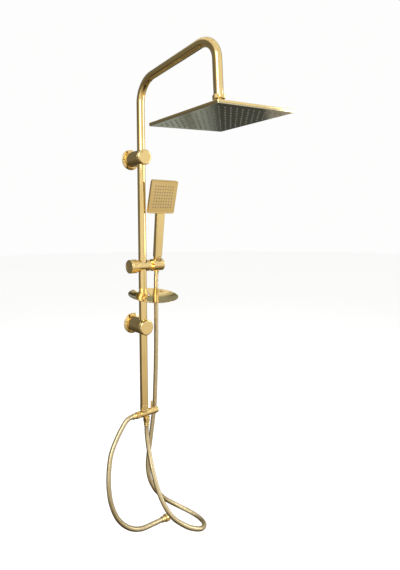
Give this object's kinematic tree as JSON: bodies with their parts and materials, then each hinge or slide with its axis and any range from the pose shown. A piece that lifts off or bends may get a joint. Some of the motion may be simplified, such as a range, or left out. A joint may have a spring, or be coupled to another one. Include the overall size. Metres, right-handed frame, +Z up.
{
  "type": "rainfall shower column",
  "caption": "Exposed rainfall shower column: riser rail on two round wall brackets, gooseneck arm, square head on a ball joint, sliding handset, soap dish, diverter and two hoses.",
  "frame": {"origin": "centre of the lower wall flange's back face, on the wall", "axes": "+Z up along the riser rail, -Y out from the wall into the room, +X to the right seen from the room"},
  "size_m": [0.3558, 0.5358, 1.4744],
  "materials": {
    "gold_brass": "mirror-polished gold PVD coating on brass",
    "gold_steel": "mirror-polished gold PVD coating on stainless sheet",
    "gold_plated_plastic": "gold-plated moulded plastic, polished",
    "hose_braid": "pale gold interlocked metal hose",
    "screw_steel": "turned steel",
    "liner_plastic": "moulded acetal",
    "nozzle_silicone": "moulded silicone"
  },
  "bodies": {
    "column": {"lower_wall_flange": "gold_steel", "lower_wall_post": "gold_brass", "lower_bracket_barrel": "gold_brass", "lower_set_screw": "screw_steel", "lower_front_cap": "gold_brass", "upper_wall_flange": "gold_steel", "upper_wall_post": "gold_brass", "upper_bracket_barrel": "gold_brass", "upper_set_screw": "screw_steel", "upper_front_cap": "gold_brass", "riser_rail": "gold_brass", "rail_joint_sleeve": "gold_brass", "gooseneck_arm": "gold_brass", "rail_union": "gold_brass", "diverter_body": "gold_brass", "inlet_hose_valve_nut": "gold_brass", "inlet_hose_valve_ferrule": "gold_brass", "handset_hose_valve_nut": "gold_brass", "handset_hose_valve_ferrule": "gold_brass", "handset_hose": "hose_braid", "inlet_hose": "hose_braid", "inlet_hose_end_ferrule": "gold_brass", "inlet_hose_end_nut": "gold_brass"},
    "head_stem": {"ball_stem": "gold_brass", "stem_nut": "gold_brass"},
    "head_liner": {"ball_liner": "liner_plastic"},
    "head": {"head_boss": "gold_brass", "ball_retaining_ring": "gold_brass", "head_back_shell": "gold_steel", "head_face_plate": "gold_steel", "head_nozzle_mat": "nozzle_silicone"},
    "slider": {"slider_body": "gold_plated_plastic", "slider_bush": "liner_plastic", "cradle_pivot": "gold_brass", "handset_hose_top": "hose_braid"},
    "slider_knob": {"slider_knob": "gold_plated_plastic", "slider_knob_screw": "screw_steel"},
    "cradle": {"cradle": "gold_plated_plastic", "cradle_insert": "liner_plastic"},
    "handset": {"hose_cone_nut": "gold_brass", "handset_body": "gold_plated_plastic", "handset_face_plate": "gold_plated_plastic", "handset_nozzle_mat": "nozzle_silicone"},
    "soap_dish": {"soap_dish": "gold_steel", "dish_clamp_collar": "gold_brass", "dish_clamp_screw": "screw_steel"},
    "diverter_handle": {"diverter_spindle": "screw_steel", "diverter_knob": "gold_brass", "diverter_lever": "gold_brass", "diverter_end_cap": "gold_brass"}
  },
  "joints": [
    {"name": "head_turn", "type": "hinge", "parent": "column", "child": "head_stem", "pos_m": [0, -0.41081, 0.6045], "axis": [0, 0.046, 0.9989], "continuous": true},
    {"name": "head_tilt", "type": "hinge", "parent": "head_stem", "child": "head_liner", "pos_m": [0, -0.41081, 0.6045], "axis": [1, 0, 0], "range_deg": [-12, 12]},
    {"name": "head_roll", "type": "hinge", "parent": "head_liner", "child": "head", "pos_m": [0, -0.41081, 0.6045], "axis": [0, 1, 0], "range_deg": [-8, 15]},
    {"name": "slider_travel", "type": "slide", "parent": "column", "child": "slider", "axis": [0, 0, 1], "range_m": [-0.03, 0.11], "deforming": ["handset_hose"]},
    {"name": "slider_knob_turn", "type": "hinge", "parent": "slider", "child": "slider_knob", "pos_m": [-0.036, -0.0625, 0.19], "axis": [1, 0, 0], "range_deg": [-180, 0]},
    {"name": "holder_tilt", "type": "hinge", "parent": "slider", "child": "cradle", "pos_m": [0.055, -0.0625, 0.19], "axis": [1, 0, 0], "range_deg": [0, 30], "deforming": ["handset_hose_top"]},
    {"name": "handset_twist", "type": "hinge", "parent": "cradle", "child": "handset", "pos_m": [0.055, -0.0625, 0.19], "axis": [0, -0.1219, 0.9925], "range_deg": [0, 90]},
    {"name": "soap_dish_travel", "type": "slide", "parent": "column", "child": "soap_dish", "axis": [0, 0, 1], "range_m": [-0.055, 0.03]},
    {"name": "diverter_turn", "type": "hinge", "parent": "column", "child": "diverter_handle", "pos_m": [0.03, -0.0625, -0.2725], "axis": [1, 0, 0], "range_deg": [0, 90]}
  ]
}
